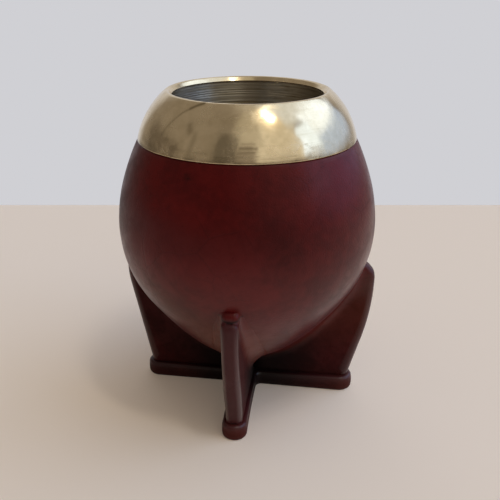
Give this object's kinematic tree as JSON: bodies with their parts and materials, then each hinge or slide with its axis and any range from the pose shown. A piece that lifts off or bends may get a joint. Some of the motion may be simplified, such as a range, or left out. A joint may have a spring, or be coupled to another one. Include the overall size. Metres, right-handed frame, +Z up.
{
  "type": "mate cup",
  "caption": "Gourd-shaped mate cup wrapped in dark red leather, with a domed metal collar at the mouth and leather fins on a cross-shaped foot.",
  "frame": {"origin": "on the ground under the cup's axis, at the middle of the cross foot's sole", "axes": "+Z up along the cup's axis, -Y towards the fin that faces the viewer, +X towards the right-hand fin"},
  "size_m": [0.0916, 0.092, 0.1125],
  "materials": {
    "gourd": "dry inner wall of a cured gourd, matt and a little fibrous",
    "cover_leather": "smooth dyed leather with a worn wax sheen and fine creases",
    "collar_metal": "pale yellow metal, spun and polished, with fine scratches",
    "sleeve_metal": "grey metal with fine rings from the spinning",
    "fin_leather": "thick dyed leather with waxed round edges"
  },
  "bodies": {
    "root": {"gourd_shell": "gourd", "leather_cover": "cover_leather", "collar": "collar_metal", "mouth_sleeve": "sleeve_metal", "fin_front": "fin_leather", "fin_right": "fin_leather", "fin_back": "fin_leather", "fin_left": "fin_leather", "cross_foot": "fin_leather"}
  },
  "joints": []
}
